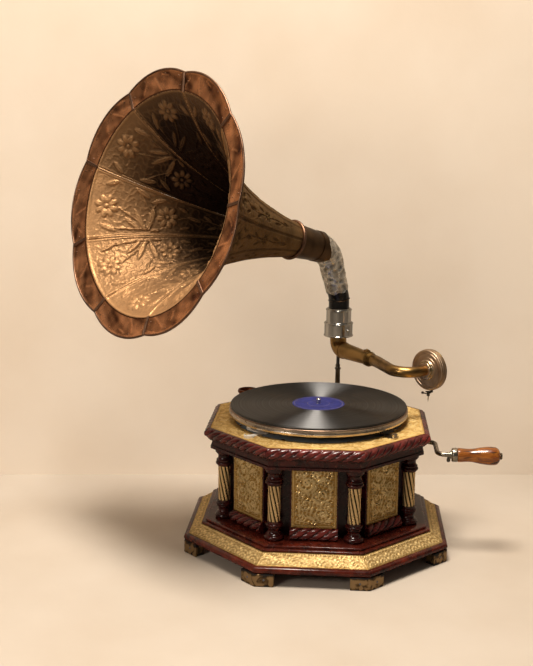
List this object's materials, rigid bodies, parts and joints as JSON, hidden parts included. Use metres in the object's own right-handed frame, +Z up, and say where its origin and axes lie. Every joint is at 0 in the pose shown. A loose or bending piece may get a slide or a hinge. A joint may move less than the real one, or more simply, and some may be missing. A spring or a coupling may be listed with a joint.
{
  "type": "table gramophone",
  "caption": "Octagonal lacquered table gramophone with a petal horn, embossed brass sheets, rope mouldings, a turntable with a record, a swinging tonearm with a soundbox, and a side crank.",
  "frame": {"origin": "centre of the eight-sided footprint, on the floor under the turntable's spindle", "axes": "+Z up, +X to the viewer's right, where the crank is, and -Y to the front"},
  "size_m": [0.6069, 0.4234, 0.6609],
  "materials": {
    "lacquered_wood": "gloss red-brown lacquer",
    "plain_wood": "plain sanded board",
    "embossed_brass": "bright embossed sheet",
    "panel_brass": "aged embossed sheet",
    "column_brass": "polished, dark in the grooves",
    "foot_brass": "worn and stained",
    "cup_brass": "brown patina",
    "black_enamel": "satin black enamel",
    "steel": "plain machined steel",
    "spring_steel": "blued strip",
    "nickel": "polished nickel plate",
    "lever_brass": "worn plate",
    "platter_bronze": "copper-bronze plate",
    "felt": "short pile",
    "shellac": "grooved gloss",
    "label_paper": "plain printed paper",
    "motor_brass": "machined",
    "arm_brass": "polished and toned",
    "soundbox_metal": "copper-nickel plate",
    "gasket_rubber": "soft tube",
    "diaphragm_foil": "thin spun foil",
    "pewter_foil": "embossed foil wrap",
    "horn_bronze": "embossed, dark bronze",
    "lip_copper": "copper-toned edge band",
    "grip_wood": "varnished, dark streaks"
  },
  "bodies": {
    "base": {"feet": "foot_brass", "plinth": "lacquered_wood", "bottom_board": "plain_wood", "bottom_screws": "steel", "base_skirt": "embossed_brass", "cabinet_walls": "lacquered_wood", "panel_blocks": "lacquered_wood", "side_panels": "panel_brass", "panel_ropes": "lacquered_wood", "column_bases": "lacquered_wood", "column_shafts": "column_brass", "column_capitals": "lacquered_wood", "cornice": "lacquered_wood", "deck_board": "lacquered_wood", "top_rope": "lacquered_wood", "deck_sheet": "embossed_brass", "motor_board": "black_enamel", "deck_screws": "steel", "needle_cup": "cup_brass", "back_bracket": "black_enamel", "bracket_screws": "steel", "support_post": "black_enamel", "collar": "nickel", "crank_bush": "nickel", "motor_top_plate": "steel", "motor_bottom_plate": "steel", "motor_pillars": "steel", "governor_bearings": "steel"},
    "platter": {"platter": "platter_bronze", "platter_felt": "felt", "spindle": "nickel"},
    "record": {"record": "shellac", "record_label": "label_paper"},
    "intermediate": {"intermediate_gears": "motor_brass"},
    "barrel": {"spring_barrel": "motor_brass", "barrel_cover": "motor_brass", "mainspring": "spring_steel"},
    "arbor": {"winding_arbor": "steel"},
    "governor": {"governor_shaft": "steel", "governor_weights": "motor_brass"},
    "tonearm": {"tonearm": "arm_brass"},
    "gooseneck": {"gooseneck": "arm_brass", "soundbox_back": "soundbox_metal", "soundbox_gaskets": "gasket_rubber", "diaphragm": "diaphragm_foil", "soundbox_ring": "soundbox_metal", "stylus_bar": "nickel", "needle": "nickel"},
    "needle_screw": {"needle_screw": "nickel"},
    "horn": {"elbow_ferrule": "nickel", "horn_elbow": "black_enamel", "elbow_sleeve": "pewter_foil", "horn_throat": "horn_bronze", "throat_bead": "horn_bronze", "horn_petals": "horn_bronze", "horn_lip": "lip_copper"},
    "brake": {"brake_lever": "lever_brass"},
    "speed": {"speed_lever": "nickel"},
    "crank": {"crank": "nickel"},
    "grip": {"crank_grip": "grip_wood"}
  },
  "joints": [
    {"name": "platter_spin", "type": "hinge", "parent": "base", "child": "platter", "pos_m": [0, 0, 0.19], "axis": [0, 0, 1], "continuous": true},
    {"name": "record_lift", "type": "slide", "parent": "platter", "child": "record", "axis": [0, 0, 1], "range_m": [0, 0.02]},
    {"name": "intermediate_spin", "type": "hinge", "parent": "base", "child": "intermediate", "pos_m": [0.03235, -0.01897, 0.09], "axis": [0, 0, 1], "continuous": true},
    {"name": "barrel_spin", "type": "hinge", "parent": "base", "child": "barrel", "pos_m": [0.058, 0.018, 0.1], "axis": [0, 0, 1], "continuous": true},
    {"name": "governor_spin", "type": "hinge", "parent": "base", "child": "governor", "pos_m": [-0.024, 0, 0.1121], "axis": [0, 1, 0], "continuous": true},
    {"name": "crank_turn", "type": "hinge", "parent": "base", "child": "crank", "pos_m": [0.15, 0.018, 0.1425], "axis": [1, 0, 0], "continuous": true},
    {"name": "arbor_turn", "type": "hinge", "parent": "base", "child": "arbor", "pos_m": [0.058, 0.018, 0.13], "axis": [0, 0, 1], "continuous": true},
    {"name": "grip_spin", "type": "hinge", "parent": "crank", "child": "grip", "pos_m": [0.2, -0.04, 0.1425], "axis": [1, 0, 0], "continuous": true},
    {"name": "tonearm_swing", "type": "hinge", "parent": "base", "child": "tonearm", "pos_m": [0.025, 0.146, 0.26], "axis": [0, 0, 1], "range_deg": [-42, 30]},
    {"name": "gooseneck_flip", "type": "hinge", "parent": "tonearm", "child": "gooseneck", "pos_m": [0.07089, 0.08047, 0.2486], "axis": [0.5736, -0.8192, 0], "range_deg": [0, 95]},
    {"name": "needle_screw_turn", "type": "hinge", "parent": "gooseneck", "child": "needle_screw", "pos_m": [0.15117, 0.02534, 0.2126], "axis": [-0.6896, 0.7242, 0], "range_deg": [0, 360]},
    {"name": "horn_swivel", "type": "hinge", "parent": "base", "child": "horn", "pos_m": [0.025, 0.146, 0.32], "axis": [0, 0, 1], "continuous": true},
    {"name": "brake_swing", "type": "hinge", "parent": "base", "child": "brake", "pos_m": [-0.07071, -0.08163, 0.178], "axis": [0, 0, 1], "range_deg": [0, 15]},
    {"name": "speed_swing", "type": "hinge", "parent": "base", "child": "speed", "pos_m": [0.08249, -0.06971, 0.178], "axis": [0, 0, 1], "range_deg": [-18, 18]}
  ],
  "couplings": [
    {"joint": "intermediate_spin", "follows": "platter_spin", "ratio": -0.25},
    {"joint": "barrel_spin", "follows": "platter_spin", "ratio": 0.05},
    {"joint": "governor_spin", "follows": "platter_spin", "ratio": 12},
    {"joint": "arbor_turn", "follows": "crank_turn", "ratio": 0.38889}
  ]
}
